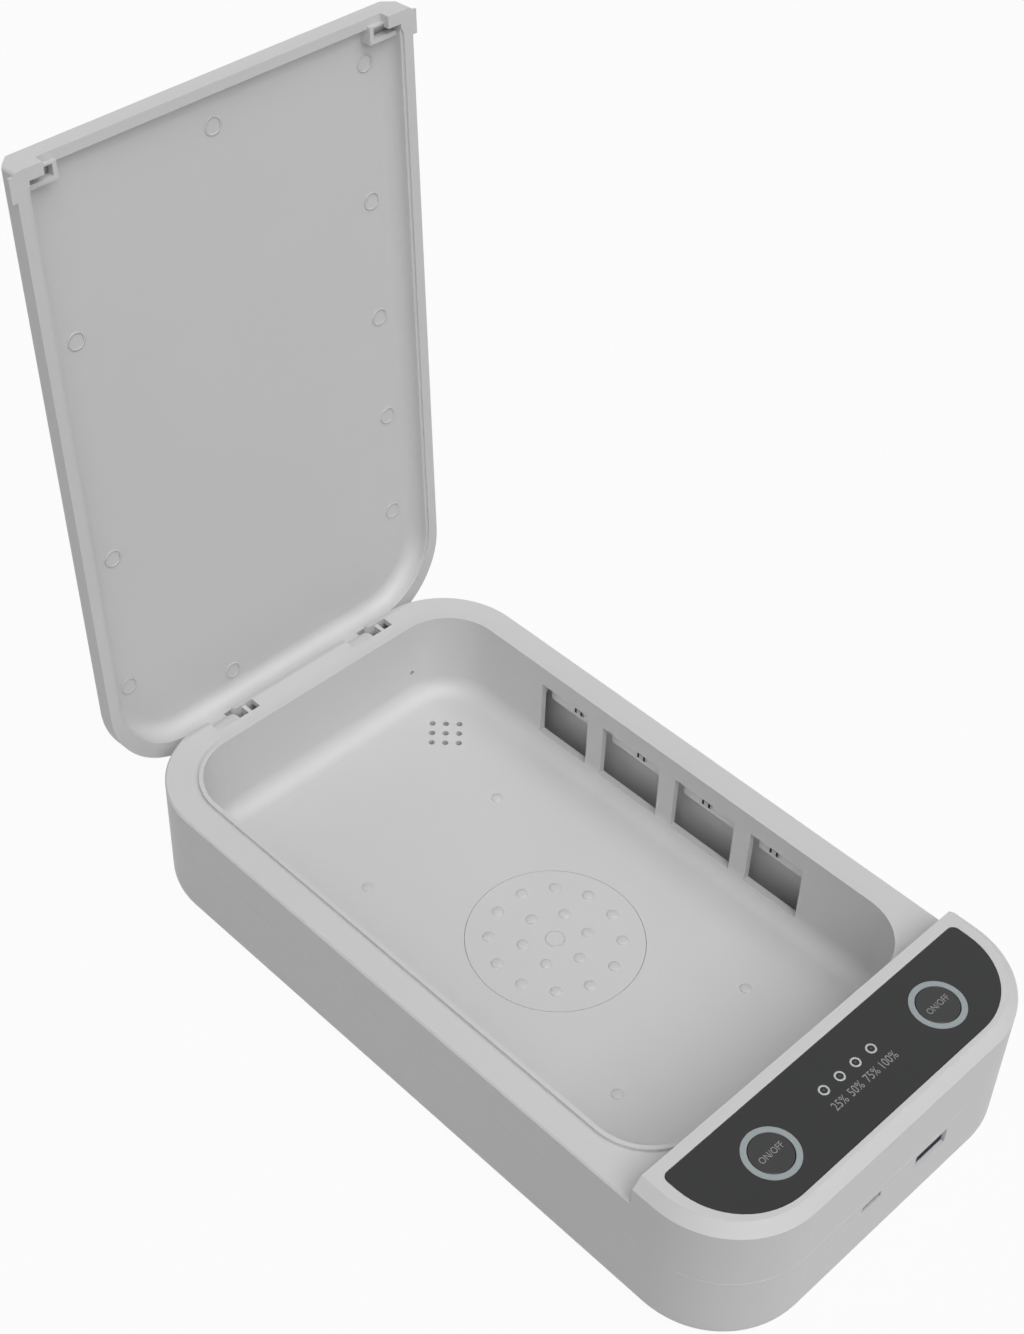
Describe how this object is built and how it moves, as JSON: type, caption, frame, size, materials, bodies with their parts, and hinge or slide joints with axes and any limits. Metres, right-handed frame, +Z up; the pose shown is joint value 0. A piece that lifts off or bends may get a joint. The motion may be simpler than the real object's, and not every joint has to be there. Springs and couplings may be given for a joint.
{
  "type": "uv sanitizer box",
  "caption": "Free-standing ultraviolet sanitizer box for a phone: shallow rounded case with an open chamber, glossy control panel with push buttons, and a hinged hollow lid.",
  "frame": {"origin": "on the table, under the centre of the chamber", "axes": "+X across the case to the side with the ultraviolet strip, +Y towards the lid's hinge, +Z up"},
  "size_m": [0.1322, 0.2645, 0.2319],
  "materials": {
    "bottom_shell": "satin",
    "upper_housing": "satin",
    "feet": "matte",
    "control_panel": "glossy",
    "sterilise_button": "glossy",
    "aroma_button": "glossy",
    "button_light_rings": "translucent",
    "sterilise_plunger": "matte",
    "aroma_plunger": "matte",
    "tact_switches": "matte",
    "indicator_light_pipe": "clear",
    "indicator_leds": "glossy",
    "lid_sensor": "matte",
    "control_board": "satin",
    "power_board": "satin",
    "usb_a_shell": "satin",
    "usb_a_tongue": "matte",
    "micro_usb_shell": "satin",
    "micro_usb_tongue": "matte",
    "board_ribbon": "satin",
    "uv_board": "satin",
    "uv_leds": "glossy",
    "uv_lead": "matte",
    "floor_disc": "satin",
    "aroma_tray": "matte",
    "aroma_pad": "fibrous",
    "lid": "satin",
    "lid_magnets": "satin",
    "case_magnets": "satin",
    "hinge_pin_left": "satin",
    "hinge_pin_right": "satin",
    "case_screws": "satin",
    "board_screws": "satin"
  },
  "bodies": {
    "case": {"bottom_shell": "bottom_shell", "upper_housing": "upper_housing", "feet": "feet", "control_panel": "control_panel", "button_light_rings": "button_light_rings", "tact_switches": "tact_switches", "indicator_light_pipe": "indicator_light_pipe", "indicator_leds": "indicator_leds", "lid_sensor": "lid_sensor", "control_board": "control_board", "power_board": "power_board", "usb_a_shell": "usb_a_shell", "usb_a_tongue": "usb_a_tongue", "micro_usb_shell": "micro_usb_shell", "micro_usb_tongue": "micro_usb_tongue", "board_ribbon": "board_ribbon", "uv_board": "uv_board", "uv_leds": "uv_leds", "uv_lead": "uv_lead", "floor_disc": "floor_disc", "aroma_tray": "aroma_tray", "aroma_pad": "aroma_pad", "case_magnets": "case_magnets", "hinge_pin_left": "hinge_pin_left", "hinge_pin_right": "hinge_pin_right", "case_screws": "case_screws", "board_screws": "board_screws"},
    "lid": {"lid": "lid", "lid_magnets": "lid_magnets"},
    "sterilise_button": {"sterilise_button": "sterilise_button", "sterilise_plunger": "sterilise_plunger"},
    "aroma_button": {"aroma_button": "aroma_button", "aroma_plunger": "aroma_plunger"}
  },
  "joints": [
    {"name": "lid_hinge", "type": "hinge", "parent": "case", "child": "lid", "pos_m": [0, 0.1024, 0.0336], "axis": [1, 0, 0], "range_deg": [0, 93.8]},
    {"name": "sterilise_press", "type": "slide", "parent": "case", "child": "sterilise_button", "axis": [0, 0, -1], "range_m": [0, 0.0005], "stiffness_N_per_m": 3000},
    {"name": "aroma_press", "type": "slide", "parent": "case", "child": "aroma_button", "axis": [0, 0, -1], "range_m": [0, 0.0005], "stiffness_N_per_m": 3000}
  ]
}
